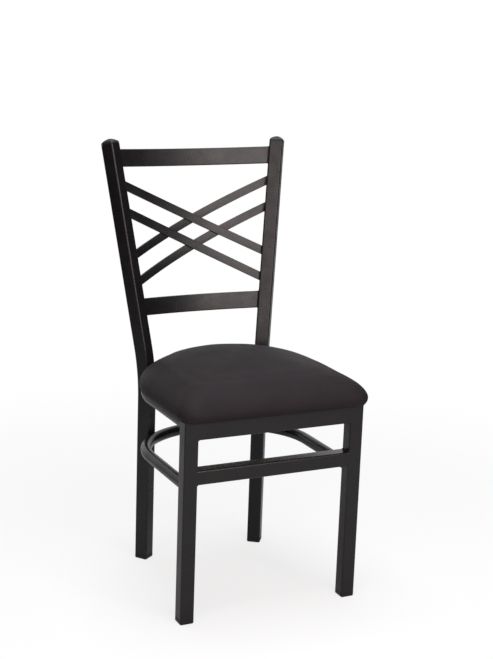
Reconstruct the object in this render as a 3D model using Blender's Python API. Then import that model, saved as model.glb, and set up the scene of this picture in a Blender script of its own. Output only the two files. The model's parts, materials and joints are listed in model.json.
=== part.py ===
# Dining chair: welded square-tube frame, crossed back bars, padded seat on a round-tube hoop.
# Metres, +Z up. The chair faces -Y. The origin is on the floor, at the middle of the footprint.

from collections import namedtuple
from math import asin, cos, pi, radians, sin, sqrt, tan

import bmesh
import bpy
from mathutils import Matrix, Vector

# Clearances
GAP = 0.0003                 # between pieces that are welded, pressed in or resting on each other
POST_CLEARANCE = 0.0015      # between the padded edge and the rear posts
LEAST_CORNER = 0.0002        # of an inner corner whose wall takes up its radius

# Square tube of the legs, posts, apron and front stretcher
TUBE = 0.028
TUBE_WALL = 0.0015
TUBE_CORNER = 0.0035

# Stance, to the centre lines of the tubes
FRONT_LEG_SPAN = 0.344
REAR_LEG_SPAN = 0.256
LEG_BASE = 0.3165            # from the front legs to the rear legs
TOE = radians(36)            # the rear tubes are turned this far about the vertical
RAKE = radians(12)           # lean of the posts, in the direction they are turned to
FRAME_TOP = 0.394            # the seat rests on this level
KNEE_RISE = 0.005            # from there to where the leg's and the post's centre lines would meet
KNEE_RADIUS = 0.5
POST_TOP = 0.850

# Seat frame and stretchers, with drops from the frame's top to the middle of a tube
APRON_HEIGHT = 0.035
STRETCHER_DROP = 0.1073
HOOP_TUBE = 0.0222
HOOP_WALL = 0.0015
HOOP_INSET = 0.0015          # of a hoop's arms, inwards from the front legs' centre lines
LOWER_HOOP_DROP = 0.1284

# Back
BACK_BOW = 0.029             # how far rails and bars curve backwards at mid width
BACK_SETBACK = 0.0035        # of their ends, behind the posts' centre lines
RAIL_HEIGHT = 0.035
RAIL_DEPTH = 0.012
RAIL_CORNER = 0.002
TOP_RAIL_DROP = 0.0266       # from the posts' top to the top rail's middle
LOWER_RAIL_RISE = 0.1342     # from the frame's top to the lower rail's middle
BAR_WIDTH = 0.017
BAR_THICKNESS = 0.005
BAR_CORNER = 0.0008
BARS_BELOW_RAIL = 0.0461     # from the top rail's middle to the upper bars' high ends
BARS_ABOVE_RAIL = 0.0405     # from the lower rail's middle to the lower bars' low ends
BAR_PITCH = 0.0536           # between two parallel bars, measured upright

# Caps and glides
CAP_RISE = 0.0108
CAP_LIP = 0.0015
PLUG_LENGTH = 0.018
GLIDE_HEIGHT = 0.010
GLIDE_EDGE = 0.0015

# Seat
SIDE_OVERHANG = 0.009        # of the cushion, beyond the front legs' outer faces
FRONT_OVERHANG = 0.017       # and in front of them
CUSHION_CORNER = 0.030
CUSHION_EDGE = 0.008         # height of the widest line above the underside
CUSHION_TUCK = 0.007         # how far the underside is drawn in from the widest line
SHOULDER_RISE = 0.0493
SHOULDER_POWER = 2.53
CROWN_RISE = 0.0184
CROWN_POWER = 3              # how soon, from the middle outwards, its level lines follow the outline
COVER_THICKNESS = 0.0012
COVER_TURN_IN = 0.022        # of the cover, under the board
BOARD_THICKNESS = 0.012
BOARD_INSET = 0.010
FOAM_EDGE = 0.004            # least rise of the foam's crown, above the board, at its edge

# Seat fixings
TAB_WIDTH = 0.024
TAB_LENGTH = 0.028
TAB_THICKNESS = 0.003
TAB_CORNER = 0.006
TAB_DROP = 0.0015            # of the tabs' top, below the frame's top
TAB_HOLE_PLACE = 0.018       # from the tab's welded edge to its hole
FRONT_TAB_PLACE = 0.050      # of the front tabs, behind the front legs' centre line
REAR_TAB_TURN = radians(62)  # where the rear tabs stand on the hoop's side bends
SCREW_SHANK = 0.0040
SCREW_PLAY = 0.0012          # of the shank in the tab's hole, across
SCREW_HEAD = 0.0086
SCREW_HEAD_HEIGHT = 0.0026
SCREW_COVER = 0.0033         # of wood, above a screw's tip
SCREW_TIP = 0.0025
PILOT_SPARE = 0.0010         # of the pilot hole, past the screw's tip

# Counts
CORNER_STEPS = 4
HOOP_SIDES = 24
KNEE_STEPS = 8
BOW_STEPS = 16
SIDE_BEND_STEPS = 6
BACK_BEND_STEPS = 10
HOOP_SIDE_BEND_STEPS = 9
HOOP_BACK_BEND_STEPS = 14
FRONT_STEPS = 4
CUSHION_CORNER_STEPS = 4
SIDE_STEPS = 3
TUCK_STEPS = 3
ROUND_STEPS = 16

# Rings of the cushion's top, as shares of the way from its middle to its widest line
CROWN_RINGS = (0.22, 0.42, 0.60, 0.74, 0.85, 0.925, 0.97, 0.99, 0.998, 1.0)

# Rings of a cap's dome: share of its rise, share of its width
CAP_RINGS = ((0.30, 0.93), (0.54, 0.78), (0.77, 0.55), (0.93, 0.28))

# Rings of a screw's head, from its crown up: share of its height below the seat, share of its width
HEAD_RINGS = ((1.0, 0.62), (0.7, 0.92), (0.3, 1.0), (0.0, 1.0))

# Sharpest fold that is shaded smooth, on formed metal and on the soft seat
HARD_FOLD = radians(40)
SOFT_FOLD = radians(60)

UP = Vector((0, 0, 1))
LEFT, RIGHT = -1, 1
SIDES = (("left", LEFT), ("right", RIGHT))

Station = namedtuple("Station", "middle across up")
Plane = namedtuple("Plane", "point normal")


def clear_scene():
    for thing in list(bpy.data.objects):
        bpy.data.objects.remove(thing, do_unlink=True)


def make_material(name, colour, roughness, metallic=0.0):
    material = bpy.data.materials.new(name)
    material.use_nodes = True
    shader = material.node_tree.nodes["Principled BSDF"]
    shader.inputs["Base Color"].default_value = (*colour, 1)
    shader.inputs["Roughness"].default_value = roughness
    shader.inputs["Metallic"].default_value = metallic
    return material


def finish_object(name, mesh_maker, material, fold=HARD_FOLD):
    """Turns a bmesh into a named object of the chair."""
    bmesh.ops.recalc_face_normals(mesh_maker, faces=mesh_maker.faces)
    mesh = bpy.data.meshes.new(name)
    mesh_maker.to_mesh(mesh)
    mesh_maker.free()
    mesh.materials.append(material)
    mesh.shade_smooth()
    mesh.set_sharp_from_angle(angle=fold)
    thing = bpy.data.objects.new(name, mesh)
    bpy.context.scene.collection.objects.link(thing)
    thing.parent = chair
    return thing


# Plane figures

def rounded_rectangle(width, height, radius, steps=CORNER_STEPS):
    """Points of a rectangle with round corners, counter-clockwise from the right side's corner."""
    points = []
    for corner, (side, top) in enumerate(((1, 1), (-1, 1), (-1, -1), (1, -1))):
        middle = Vector((side * (width / 2 - radius), top * (height / 2 - radius)))
        for step in range(steps + 1):
            angle = (corner + step / steps) * pi / 2
            points.append(middle + radius * Vector((cos(angle), sin(angle))))
    return points


def inset_rectangle(width, height, radius, inset):
    """A rounded rectangle, drawn in on all sides."""
    corner = max(radius - inset, LEAST_CORNER)
    return rounded_rectangle(width - 2 * inset, height - 2 * inset, corner)


def tube_section(width, height, radius):
    """Outline and bore of a rectangular tube."""
    return rounded_rectangle(width, height, radius), inset_rectangle(width, height, radius, TUBE_WALL)


def circle(diameter, count):
    """Points of a circle, in the same order as a rounded rectangle's."""
    angles = [2 * pi * step / count for step in range(count)]
    return [diameter / 2 * Vector((cos(angle), sin(angle))) for angle in angles]


# Solids

def add_ring(maker, points):
    return [maker.verts.new(point) for point in points]


def bridge(maker, ring_a, ring_b):
    """Joins two closed rings of equal count with a band of faces."""
    count = len(ring_a)
    for i in range(count):
        j = (i + 1) % count
        maker.faces.new((ring_a[i], ring_a[j], ring_b[j], ring_b[i]))


def place(station, figure):
    return [station.middle + station.across * p.x + station.up * p.y for p in figure]


def slide_to_plane(points, along, plane):
    """Moves points along a direction until they lie in a plane."""
    reach = along.dot(plane.normal)
    return [p + along * ((plane.point - p).dot(plane.normal) / reach) for p in points]


def sweep(name, stations, figure, material, hole=None, start=None, end=None):
    """Carries a figure along stations, as a tube if it has a hole, with its ends cut at two planes."""
    maker = bmesh.new()
    skins = []
    for shape in (figure, hole):
        if shape is None:
            continue
        rings = [place(station, shape) for station in stations]
        for index, plane in ((0, start), (-1, end)):
            if plane is not None:
                along = stations[index].across.cross(stations[index].up)
                rings[index] = slide_to_plane(rings[index], along, plane)
        skins.append([add_ring(maker, ring) for ring in rings])
    for skin in skins:
        for ring_a, ring_b in zip(skin, skin[1:]):
            bridge(maker, ring_a, ring_b)
    for index in (0, -1):
        if hole is None:
            maker.faces.new(skins[0][index])
        else:
            bridge(maker, skins[0][index], skins[1][index])
    return finish_object(name, maker, material)


def stack(name, levels, material, peak=None, location=(0, 0, 0)):
    """Builds a closed solid from rings one above another, with a flat foot and a flat or pointed top."""
    maker = bmesh.new()
    rings = [add_ring(maker, points) for points in levels]
    for ring_a, ring_b in zip(rings, rings[1:]):
        bridge(maker, ring_a, ring_b)
    maker.faces.new(rings[0])
    if peak is None:
        maker.faces.new(rings[-1])
    else:
        close_with_peak(maker, rings[-1], peak)
    thing = finish_object(name, maker, material)
    thing.location = location
    return thing


def close_with_peak(maker, ring, peak):
    top = maker.verts.new(peak)
    for i in range(len(ring)):
        maker.faces.new((ring[i], ring[(i + 1) % len(ring)], top))


def level(figure, height):
    return [Vector((p.x, p.y, height)) for p in figure]


def cut_with(thing, cutter):
    cutter.hide_render = True
    cutter.display_type = "WIRE"
    cut = thing.modifiers.new("hole", "BOOLEAN")
    cut.operation = "DIFFERENCE"
    cut.solver = "EXACT"
    cut.object = cutter


# Rear tube: where it stands, how it bends

KNEE_HEIGHT = FRAME_TOP + KNEE_RISE
KNEE_START = KNEE_HEIGHT - KNEE_RADIUS * tan(RAKE / 2)
KNEE_END = KNEE_START + KNEE_RADIUS * sin(RAKE)


def lean_of_post(height):
    """How far the rear tube's centre line lies behind its foot, in the direction it is turned to."""
    if height <= KNEE_START:
        return 0
    if height >= KNEE_END:
        return (height - KNEE_HEIGHT) * tan(RAKE)
    return KNEE_RADIUS - sqrt(KNEE_RADIUS ** 2 - (height - KNEE_START) ** 2)


def slope_of_post(height):
    """Angle of the rear tube's centre line to the upright."""
    if height <= KNEE_START:
        return 0
    if height >= KNEE_END:
        return RAKE
    return asin((height - KNEE_START) / KNEE_RADIUS)


def turned_back(side):
    """The direction that a rear tube's back face looks to, seen from above."""
    return Vector((side * sin(TOE), cos(TOE), 0))


def turned_aside(side):
    """The direction that a rear tube's outer face looks to."""
    return Vector((side * cos(TOE), -sin(TOE), 0))


def post_middle(side, height):
    """Centre of the rear tube at a height."""
    foot = Vector((side * REAR_LEG_SPAN / 2, LEG_BASE, height))
    return foot + turned_back(side) * lean_of_post(height)


def post_inner_face(side):
    """The face of a post that rails and bars are welded to, less the gap."""
    inwards = -turned_aside(side)
    return Plane(post_middle(side, POST_TOP) + inwards * (TUBE / 2 + GAP), inwards)


# Horseshoe that the hoops, the board and the cushion follow

Horseshoe = namedtuple("Horseshoe", "side_radius side_centre back_radius back_centre")


def horseshoe(half_width, height, reach, inset=0):
    """Sides parallel to Y, then bends that pass each rear tube and meet in one back curve.

    The reach is square to the rear tube, from its centre line, at the given height. The inset is
    how far the side bends and the back curve are drawn in from there.
    """
    distance = reach / cos(slope_of_post(height)) + inset
    touch = post_middle(RIGHT, height) - turned_back(RIGHT) * distance
    side_radius = (half_width - touch.x) / (1 - sin(TOE))
    back_radius = touch.x / sin(TOE)
    return Horseshoe(
        side_radius,
        Vector((half_width - side_radius, touch.y - side_radius * cos(TOE), 0)),
        back_radius,
        Vector((0, touch.y - back_radius * cos(TOE), 0)),
    )


def heading(turn):
    """Outward direction at a turn that is 0 at the back, 90 degrees on the right side."""
    return Vector((sin(turn), cos(turn), 0))


def bend_points(shape, side_steps=SIDE_BEND_STEPS, back_steps=BACK_BEND_STEPS):
    """Points and outward directions from the right side's bend, round the back, to the left side's."""
    turns = [pi / 2 + (TOE - pi / 2) * step / side_steps for step in range(side_steps)]
    turns += [TOE - 2 * TOE * step / back_steps for step in range(back_steps + 1)]
    turns += [-turn for turn in reversed(turns[:side_steps])]
    points = []
    for turn in turns:
        if abs(turn) <= TOE:
            points.append((shape.back_centre + heading(turn) * shape.back_radius, heading(turn)))
            continue
        side = RIGHT if turn > 0 else LEFT
        centre = Vector((side * shape.side_centre.x, shape.side_centre.y, 0))
        points.append((centre + heading(turn) * shape.side_radius, heading(turn)))
    return points


# Frame

def add_front_legs(steel):
    figure, bore = tube_section(TUBE, TUBE, TUBE_CORNER)
    for name, side in SIDES:
        x = side * FRONT_LEG_SPAN / 2
        ends = (GLIDE_HEIGHT + GAP, FRAME_TOP)
        stations = [Station(Vector((x, 0, z)), Vector((1, 0, 0)), Vector((0, 1, 0))) for z in ends]
        sweep(f"front_leg_{name}", stations, figure, steel, hole=bore)


def rear_stations(side):
    """Stations of a rear tube from its foot, through its knee, to its top."""
    places = [(0, GLIDE_HEIGHT + GAP, 0)]
    for step in range(KNEE_STEPS + 1):
        turn = RAKE * step / KNEE_STEPS
        places.append((KNEE_RADIUS * (1 - cos(turn)), KNEE_START + KNEE_RADIUS * sin(turn), turn))
    places.append((lean_of_post(POST_TOP), POST_TOP, RAKE))
    foot = Vector((side * REAR_LEG_SPAN / 2, LEG_BASE, 0))
    stations = []
    for lean, height, turn in places:
        middle = foot + turned_back(side) * lean + UP * height
        back = turned_back(side) * cos(turn) - UP * sin(turn)
        stations.append(Station(middle, side * turned_aside(side), back))
    return stations


def add_rear_uprights(steel):
    figure, bore = tube_section(TUBE, TUBE, TUBE_CORNER)
    for name, side in SIDES:
        sweep(f"rear_upright_{name}", rear_stations(side), figure, steel, hole=bore)


def add_front_rail(name, height, middle, steel):
    """A tube between the front legs, flush with their front faces."""
    figure, bore = tube_section(TUBE, height, TUBE_CORNER)
    reach = (FRONT_LEG_SPAN - TUBE) / 2 - GAP
    stations = [Station(Vector((x, 0, middle)), Vector((0, 1, 0)), UP) for x in (-reach, reach)]
    sweep(name, stations, figure, steel, hole=bore)


HOOP_HALF = FRONT_LEG_SPAN / 2 - HOOP_INSET


def hoop_shape(middle):
    return horseshoe(HOOP_HALF, middle, TUBE / 2 + GAP + HOOP_TUBE / 2)


def add_hoop(name, middle, steel):
    """A round tube from one front leg's back face, round inside the rear legs, to the other's."""
    start = TUBE / 2 + GAP
    bends = bend_points(hoop_shape(middle), HOOP_SIDE_BEND_STEPS, HOOP_BACK_BEND_STEPS)
    course = [(Vector((HOOP_HALF, start, 0)), heading(pi / 2))]
    course += bends
    course.append((Vector((-HOOP_HALF, start, 0)), heading(-pi / 2)))
    stations = [Station(point + UP * middle, outward, UP) for point, outward in course]
    bore = circle(HOOP_TUBE - 2 * HOOP_WALL, HOOP_SIDES)
    sweep(name, stations, circle(HOOP_TUBE, HOOP_SIDES), steel, hole=bore)


# Back

TOP_RAIL_MIDDLE = POST_TOP - TOP_RAIL_DROP
LOWER_RAIL_MIDDLE = FRAME_TOP + LOWER_RAIL_RISE


def back_normal():
    """Direction square to the leaning plane through both posts, pointing backwards and down."""
    rise = post_middle(RIGHT, POST_TOP) - post_middle(RIGHT, KNEE_END)
    return Vector((0, rise.z, -rise.y)).normalized()


def back_point(share, height):
    """A point of the bowed back: share is -1 at the left post and 1 at the right post."""
    post = post_middle(RIGHT, height)
    on_chord = Vector((share * post.x, post.y, height))
    return on_chord + back_normal() * (BACK_SETBACK + BACK_BOW * (1 - share ** 2))


def reach_of_corner(across, along, radius):
    """How far a rounded corner reaches to +Y, from where its two sides' half sizes are given as vectors."""
    across_flat = across * (1 - radius / across.length)
    along_flat = along * (1 - radius / along.length)
    round_part = radius * sqrt(across.normalized().y ** 2 + along.normalized().y ** 2)
    return abs(across_flat.y) + abs(along_flat.y) + round_part


def back_reach():
    """How far the chair reaches behind the front legs' centre line: a post's corner or the top rail."""
    top = rear_stations(RIGHT)[-1]
    corner = reach_of_corner(top.across * TUBE / 2, top.up * TUBE / 2, TUBE_CORNER)
    behind = back_normal()
    rise = Vector((1, 0, 0)).cross(behind)
    edge = reach_of_corner(behind * RAIL_DEPTH / 2, rise * RAIL_HEIGHT / 2, RAIL_CORNER)
    return max(top.middle.y + corner, back_point(0, TOP_RAIL_MIDDLE).y + edge)


def back_station(left_height, right_height, share, depth):
    """Place and directions of a rail or bar that runs straight, on the bowed back, between two heights."""
    nudge = 1 / BOW_STEPS
    slope = (right_height - left_height) / 2
    middle_height = (left_height + right_height) / 2
    before = back_point(share - nudge, middle_height + slope * (share - nudge))
    after = back_point(share + nudge, middle_height + slope * (share + nudge))
    along = (after - before).normalized()
    rise = back_point(share, TOP_RAIL_MIDDLE) - back_point(share, LOWER_RAIL_MIDDLE)
    behind = rise.cross(along).normalized()
    middle = back_point(share, middle_height + slope * share) + behind * depth
    return Station(middle, behind, along.cross(behind))


def add_back_piece(name, left_height, right_height, figure, steel, depth=0, hole=None):
    """A rail or bar that follows the bowed back from post to post."""
    shares = [-1 + 2 * step / BOW_STEPS for step in range(BOW_STEPS + 1)]
    stations = [back_station(left_height, right_height, share, depth) for share in shares]
    start = post_inner_face(LEFT)
    end = post_inner_face(RIGHT)
    sweep(name, stations, figure, steel, hole=hole, start=start, end=end)


def add_back_rails(steel):
    figure, bore = tube_section(RAIL_DEPTH, RAIL_HEIGHT, RAIL_CORNER)
    for name, height in (("top_back_rail", TOP_RAIL_MIDDLE), ("lower_back_rail", LOWER_RAIL_MIDDLE)):
        add_back_piece(name, height, height, figure, steel, hole=bore)


def add_cross_bars(steel):
    """Two parallel bars slope down to the right in front of two that slope down to the left."""
    figure = rounded_rectangle(BAR_THICKNESS, BAR_WIDTH, BAR_CORNER, steps=1)
    depth = (BAR_THICKNESS + GAP) / 2
    high = TOP_RAIL_MIDDLE - BARS_BELOW_RAIL
    low = LOWER_RAIL_MIDDLE + BARS_ABOVE_RAIL
    for level_name, high_end, low_end in (
        ("upper", high, low + BAR_PITCH),
        ("lower", high - BAR_PITCH, low),
    ):
        name = f"cross_bar_front_{level_name}"
        add_back_piece(name, high_end, low_end, figure, steel, depth=-depth)
        name = f"cross_bar_rear_{level_name}"
        add_back_piece(name, low_end, high_end, figure, steel, depth=depth)


# Plastic ends

def add_post_caps(plastic):
    """Domed caps, each with a plug that is pressed into the post."""
    plug = inset_rectangle(TUBE, TUBE, TUBE_CORNER, TUBE_WALL + GAP)
    lip = rounded_rectangle(TUBE, TUBE, TUBE_CORNER)
    levels = [level(plug, -PLUG_LENGTH), level(plug, GAP), level(lip, GAP), level(lip, GAP + CAP_LIP)]
    dome = CAP_RISE - CAP_LIP
    squareness = 1 - 2 * TUBE_CORNER / TUBE
    for rise, share in CAP_RINGS:
        width = TUBE * share
        ring = rounded_rectangle(width, width, width / 2 * (1 - squareness * share))
        levels.append(level(ring, GAP + CAP_LIP + dome * rise))
    peak = Vector((0, 0, GAP + CAP_RISE))
    for name, side in SIDES:
        cap = stack(f"post_cap_{name}", levels, plastic, peak=peak)
        top = rear_stations(side)[-1]
        axes = Matrix((top.across, top.up, top.across.cross(top.up))).transposed()
        cap.matrix_local = Matrix.Translation(top.middle) @ axes.to_4x4()


def add_foot_glides(plastic):
    """Glides that the chair stands on, each with a plug that is pressed into its leg."""
    plug = inset_rectangle(TUBE, TUBE, TUBE_CORNER, TUBE_WALL + GAP)
    foot = rounded_rectangle(TUBE, TUBE, TUBE_CORNER)
    sole = inset_rectangle(TUBE, TUBE, TUBE_CORNER, GLIDE_EDGE)
    levels = [level(sole, 0), level(foot, GLIDE_EDGE), level(foot, GLIDE_HEIGHT)]
    levels += [level(plug, GLIDE_HEIGHT), level(plug, GLIDE_HEIGHT + PLUG_LENGTH)]
    for name, side in SIDES:
        stack(f"foot_glide_front_{name}", levels, plastic, location=(side * FRONT_LEG_SPAN / 2, 0, 0))
        rear = stack(f"foot_glide_rear_{name}", levels, plastic)
        rear.location = (side * REAR_LEG_SPAN / 2, LEG_BASE, 0)
        rear.rotation_euler.z = -side * TOE


# Seat

COVER_BOTTOM = FRAME_TOP + GAP
BOARD_BOTTOM = COVER_BOTTOM + COVER_THICKNESS + GAP
BOARD_TOP = BOARD_BOTTOM + BOARD_THICKNESS
CUSHION_WIDEST = COVER_BOTTOM + CUSHION_EDGE
CUSHION_FRONT = -TUBE / 2 - FRONT_OVERHANG
CUSHION_HALF = (FRONT_LEG_SPAN + TUBE) / 2 + SIDE_OVERHANG


def seat_outline(inset):
    """The cushion's outline, drawn in by an inset, counter-clockwise from its right side's bend."""
    half = CUSHION_HALF - inset
    shape = horseshoe(half, CUSHION_WIDEST, TUBE / 2 + POST_CLEARANCE, inset)
    outline = [point for point, _ in bend_points(shape)]
    radius = max(CUSHION_CORNER - inset, LEAST_CORNER)
    front = CUSHION_FRONT + inset
    side_end = shape.side_centre.y
    corner_top = front + radius
    for step in range(1, SIDE_STEPS):
        y = side_end + (corner_top - side_end) * step / SIDE_STEPS
        outline.append(Vector((-half, y, 0)))
    outline += corner_points(Vector((radius - half, corner_top, 0)), radius, pi)
    for step in range(1, FRONT_STEPS):
        x = (radius - half) * (1 - 2 * step / FRONT_STEPS)
        outline.append(Vector((x, front, 0)))
    outline += corner_points(Vector((half - radius, corner_top, 0)), radius, 3 * pi / 2)
    for step in range(1, SIDE_STEPS):
        y = corner_top + (side_end - corner_top) * step / SIDE_STEPS
        outline.append(Vector((half, y, 0)))
    return outline


def corner_points(centre, radius, start):
    """A quarter of a circle, counter-clockwise."""
    points = []
    for step in range(CUSHION_CORNER_STEPS + 1):
        angle = start + pi / 2 * step / CUSHION_CORNER_STEPS
        points.append(centre + radius * Vector((cos(angle), sin(angle), 0)))
    return points


def crown_height(share):
    """Height of the cushion's top: a soft shoulder at the edge under a low crown."""
    shoulder = (1 - share ** SHOULDER_POWER) ** (1 / SHOULDER_POWER)
    return CUSHION_WIDEST + SHOULDER_RISE * shoulder + CROWN_RISE * (1 - share ** 2)


def cushion_middle():
    outline = seat_outline(0)
    front = min(point.y for point in outline)
    back = max(point.y for point in outline)
    return Vector((0, (front + back) / 2, 0))


def crown_ring(share):
    """A level line of the crown: an oval near the middle, the cushion's outline at its edge."""
    middle = cushion_middle()
    outline = seat_outline(0)
    half_depth = middle.y - CUSHION_FRONT
    ring = []
    for point in outline:
        arm = point - middle
        oval = arm / sqrt((arm.x / CUSHION_HALF) ** 2 + (arm.y / half_depth) ** 2)
        arm = oval.lerp(arm, 1 - (1 - share) ** CROWN_POWER)
        ring.append(middle + arm * share + UP * crown_height(share))
    return ring


def crown_surface(maker, shares):
    """The top of the cushion as an open surface; gives its last ring."""
    rings = [add_ring(maker, crown_ring(share)) for share in shares]
    close_with_peak(maker, rings[0], cushion_middle() + UP * crown_height(0))
    for ring_a, ring_b in zip(rings, rings[1:]):
        bridge(maker, ring_a, ring_b)
    return rings[-1]


def add_seat_cover(vinyl):
    """The cover: over the top, round the drawn-in sides and in under the board, open below."""
    maker = bmesh.new()
    edge = crown_surface(maker, CROWN_RINGS)
    for step in range(1, TUCK_STEPS + 1):
        turn = pi / 2 * step / TUCK_STEPS
        height = CUSHION_WIDEST - CUSHION_EDGE * sin(turn)
        ring = [point + UP * height for point in seat_outline(CUSHION_TUCK * (1 - cos(turn)))]
        lower = add_ring(maker, ring)
        bridge(maker, edge, lower)
        edge = lower
    hem = [point + UP * COVER_BOTTOM for point in seat_outline(CUSHION_TUCK + COVER_TURN_IN)]
    bridge(maker, edge, add_ring(maker, hem))
    cover = finish_object("seat_cover", maker, vinyl, fold=SOFT_FOLD)
    shell = cover.modifiers.new("thickness", "SOLIDIFY")
    shell.thickness = COVER_THICKNESS
    shell.offset = -1
    shell.use_even_offset = True


def add_seat_foam(foam):
    """The pad: the cover's form less its thickness, wrapped down round the board."""
    maker = bmesh.new()
    floor = BOARD_TOP + GAP
    skin = COVER_THICKNESS + GAP
    shares = [share for share in CROWN_RINGS if crown_height(share) > floor + FOAM_EDGE]
    edge = crown_surface(maker, shares)
    bmesh.ops.recalc_face_normals(maker, faces=maker.faces)
    maker.normal_update()
    upward = maker.faces[:][0].normal.z > 0
    depth = skin if upward else -skin
    moves = [(vert, vert.normal * vert.calc_shell_factor() * depth) for vert in maker.verts]
    for vert, move in moves:
        vert.co -= move
    for step in range(TUCK_STEPS + 1):
        turn = pi / 2 * step / TUCK_STEPS
        height = CUSHION_WIDEST - (CUSHION_EDGE - skin) * sin(turn)
        inset = skin + (CUSHION_TUCK - skin) * (1 - cos(turn))
        lower = add_ring(maker, [point + UP * height for point in seat_outline(inset)])
        bridge(maker, edge, lower)
        edge = lower
    for height in (BOARD_BOTTOM, floor):
        pocket = add_ring(maker, [point + UP * height for point in seat_outline(BOARD_INSET - GAP)])
        bridge(maker, edge, pocket)
        edge = pocket
    maker.faces.new(edge)
    finish_object("seat_foam", maker, foam, fold=SOFT_FOLD)


def fixing_places():
    """Where each tab meets the hoop's centre line, and the outward direction there."""
    shape = hoop_shape(FRAME_TOP - HOOP_TUBE / 2)
    places = []
    for name, side in SIDES:
        outward = Vector((side, 0, 0))
        point = Vector((side * HOOP_HALF, FRONT_TAB_PLACE, 0))
        places.append((f"front_{name}", point, outward))
        outward = heading(side * REAR_TAB_TURN)
        centre = Vector((side * shape.side_centre.x, shape.side_centre.y, 0))
        places.append((f"rear_{name}", centre + outward * shape.side_radius, outward))
    return places


TAB_TOP = FRAME_TOP - TAB_DROP
SCREW_END = BOARD_TOP - SCREW_COVER


def tab_edge():
    """Distance from the hoop's centre line to the tab's welded edge."""
    low = max(TAB_TOP - TAB_THICKNESS - (FRAME_TOP - HOOP_TUBE / 2), 0)
    return sqrt((HOOP_TUBE / 2) ** 2 - low ** 2) + GAP


def screw_place(point, outward):
    return point - outward * (tab_edge() + TAB_HOLE_PLACE)


def add_seat_board(wood):
    """The plywood base, with a pilot hole over each tab."""
    outline = seat_outline(BOARD_INSET)
    levels = [[point + UP * height for point in outline] for height in (BOARD_BOTTOM, BOARD_TOP)]
    board = stack("seat_board", levels, wood)
    figure = circle(SCREW_SHANK + 2 * GAP, ROUND_STEPS)
    depth = SCREW_END - BOARD_BOTTOM + PILOT_SPARE
    for name, point, outward in fixing_places():
        span = (BOARD_BOTTOM - depth, BOARD_BOTTOM + depth)
        hole = stack(f"pilot_{name}", [level(figure, height) for height in span], wood)
        hole.location = screw_place(point, outward)
        cut_with(board, hole)


def add_seat_tabs(steel):
    """Flat tabs welded inside the seat frame's hoop, one under each screw."""
    edge = tab_edge()
    plate = rounded_rectangle(TAB_LENGTH, TAB_WIDTH, TAB_CORNER)
    hole = circle(SCREW_SHANK + SCREW_PLAY, len(plate))
    shift = Vector((TAB_LENGTH / 2 - TAB_HOLE_PLACE, 0))
    for name, point, outward in fixing_places():
        middle = point - outward * (edge + TAB_LENGTH / 2)
        ends = (TAB_TOP - TAB_THICKNESS, TAB_TOP)
        stations = [Station(middle + UP * height, outward, UP.cross(outward)) for height in ends]
        sweep(f"seat_tab_{name}", stations, plate, steel, hole=[p + shift for p in hole])


def add_seat_screws(zinc):
    """Pan-head screws, from below the tabs up into the board."""
    seat = TAB_TOP - TAB_THICKNESS - GAP
    levels = []
    for drop, width in HEAD_RINGS:
        levels.append(level(circle(SCREW_HEAD * width, ROUND_STEPS), seat - SCREW_HEAD_HEIGHT * drop))
    shank = circle(SCREW_SHANK, ROUND_STEPS)
    levels += [level(shank, seat), level(shank, SCREW_END - SCREW_TIP)]
    for name, point, outward in fixing_places():
        screw = stack(f"seat_screw_{name}", levels, zinc, peak=Vector((0, 0, SCREW_END)))
        screw.location = screw_place(point, outward)


clear_scene()
chair = bpy.data.objects.new("chair", None)
bpy.context.scene.collection.objects.link(chair)
chair.location.y = -(CUSHION_FRONT + back_reach()) / 2

powder_coat = make_material("powder_coated_steel", (0.028, 0.027, 0.028), 0.42)
black_plastic = make_material("black_plastic", (0.020, 0.020, 0.021), 0.5)
black_vinyl = make_material("black_vinyl", (0.035, 0.032, 0.034), 0.62)
pad_foam = make_material("pad_foam", (0.80, 0.74, 0.55), 0.95)
plywood = make_material("plywood", (0.55, 0.40, 0.24), 0.75)
zinc_plate = make_material("zinc_plate", (0.62, 0.62, 0.60), 0.35, metallic=1.0)

add_front_legs(powder_coat)
add_rear_uprights(powder_coat)
add_front_rail("front_apron_rail", APRON_HEIGHT, FRAME_TOP - APRON_HEIGHT / 2, powder_coat)
add_front_rail("front_stretcher", TUBE, FRAME_TOP - STRETCHER_DROP, powder_coat)
add_hoop("seat_frame_hoop", FRAME_TOP - HOOP_TUBE / 2, powder_coat)
add_hoop("stretcher_hoop", FRAME_TOP - LOWER_HOOP_DROP, powder_coat)
add_back_rails(powder_coat)
add_cross_bars(powder_coat)
add_post_caps(black_plastic)
add_foot_glides(black_plastic)
add_seat_cover(black_vinyl)
add_seat_foam(pad_foam)
add_seat_board(plywood)
add_seat_tabs(powder_coat)
add_seat_screws(zinc_plate)
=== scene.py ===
"""The looks of a metal dining chair: powder-coated tube, a stuffed vinyl seat and a pale studio."""

import json
from math import atan2, cos, hypot, pi, radians, sin

import bmesh
import bpy
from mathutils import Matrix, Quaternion, Vector, noise
from mathutils.bvhtree import BVHTree
from mathutils.geometry import convex_hull_2d


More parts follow.
